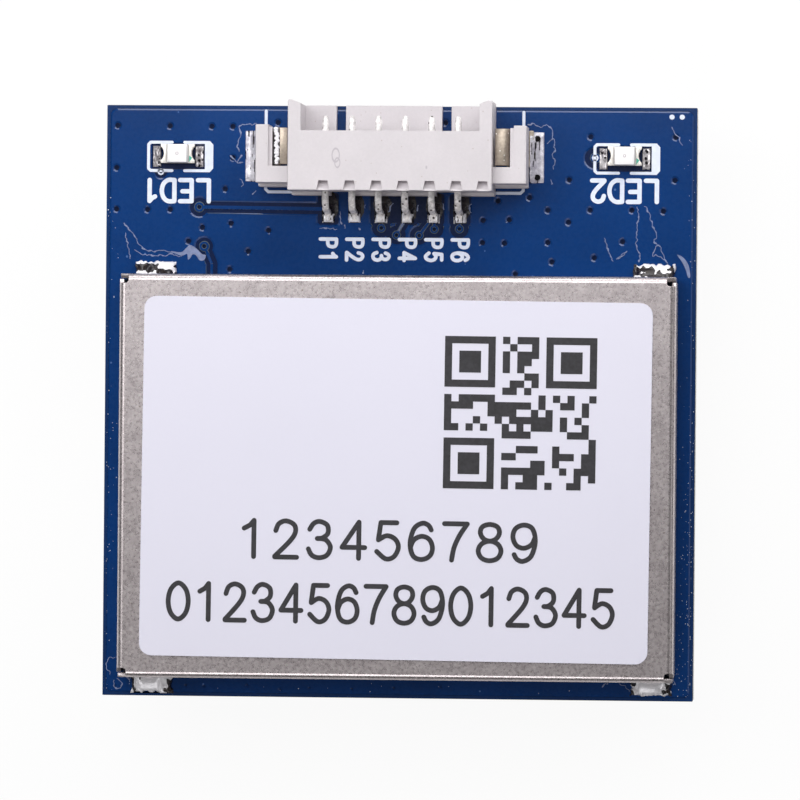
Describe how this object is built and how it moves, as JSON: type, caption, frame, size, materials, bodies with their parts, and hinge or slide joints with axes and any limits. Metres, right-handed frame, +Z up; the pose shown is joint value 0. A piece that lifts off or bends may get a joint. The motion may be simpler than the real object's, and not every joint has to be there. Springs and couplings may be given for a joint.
{
  "type": "gps module",
  "caption": "Square GPS receiver module: a circuit board on a ceramic patch antenna, with a shield can, a side-entry plug socket on one edge and two small indicator LEDs.",
  "frame": {"origin": "middle of the outline on the surface that the module lies on, at the foot of its feed pin's head", "axes": "+Z up with the shield can on top and the antenna below, +Y towards the plug socket's edge"},
  "size_m": [0.028, 0.0282, 0.0095],
  "materials": {
    "solder_mask": "blue solder mask over a laminate",
    "can_metal": "plain tinned sheet, slightly matte",
    "tin": "bright tin and solder",
    "label_paper": "smooth white label",
    "housing_plastic": "moulded natural nylon",
    "led_base": "white laminate",
    "led_lens": "milky clear resin",
    "ceramic": "unglazed fired ceramic",
    "silver": "fired silver",
    "tape": "black foam tape",
    "chip_resin": "moulded resin",
    "crystal_metal": "plated metal lid",
    "cell_steel": "polished steel",
    "capacitor_ceramic": "fired ceramic with tinned ends",
    "resistor_glass": "glass coated with tinned ends",
    "inductor_ferrite": "ferrite with tinned ends"
  },
  "bodies": {
    "root": {"amplifier": "chip_resin", "antenna_ceramic": "ceramic", "antenna_electrode": "silver", "antenna_feed_pin": "tin", "antenna_tape": "tape", "backup_cell": "cell_steel", "can_solder_1": "tin", "can_solder_2": "tin", "can_solder_3": "tin", "can_solder_4": "tin", "capacitor_1": "capacitor_ceramic", "capacitor_2": "capacitor_ceramic", "capacitor_3": "capacitor_ceramic", "capacitor_4": "capacitor_ceramic", "capacitor_5": "capacitor_ceramic", "capacitor_6": "capacitor_ceramic", "circuit_board": "solder_mask", "clock_crystal": "crystal_metal", "connector_housing": "housing_plastic", "contact_1": "tin", "contact_2": "tin", "contact_3": "tin", "contact_4": "tin", "contact_5": "tin", "contact_6": "tin", "contact_solder_1": "tin", "contact_solder_2": "tin", "contact_solder_3": "tin", "contact_solder_4": "tin", "contact_solder_5": "tin", "contact_solder_6": "tin", "feed_solder": "tin", "flash_memory": "chip_resin", "hold_down_left": "tin", "hold_down_right": "tin", "hold_down_solder_left": "tin", "hold_down_solder_right": "tin", "inductor_1": "inductor_ferrite", "inductor_2": "inductor_ferrite", "label": "label_paper", "led_1_base": "led_base", "led_1_lens": "led_lens", "led_1_solder_a": "tin", "led_1_solder_b": "tin", "led_1_terminal_a": "tin", "led_1_terminal_b": "tin", "led_2_base": "led_base", "led_2_lens": "led_lens", "led_2_solder_a": "tin", "led_2_solder_b": "tin", "led_2_terminal_a": "tin", "led_2_terminal_b": "tin", "oscillator": "crystal_metal", "receiver_chip": "chip_resin", "resistor_1": "resistor_glass", "resistor_2": "resistor_glass", "resistor_3": "resistor_glass", "saw_filter": "crystal_metal", "shield_can": "can_metal", "voltage_regulator": "chip_resin"}
  },
  "joints": []
}
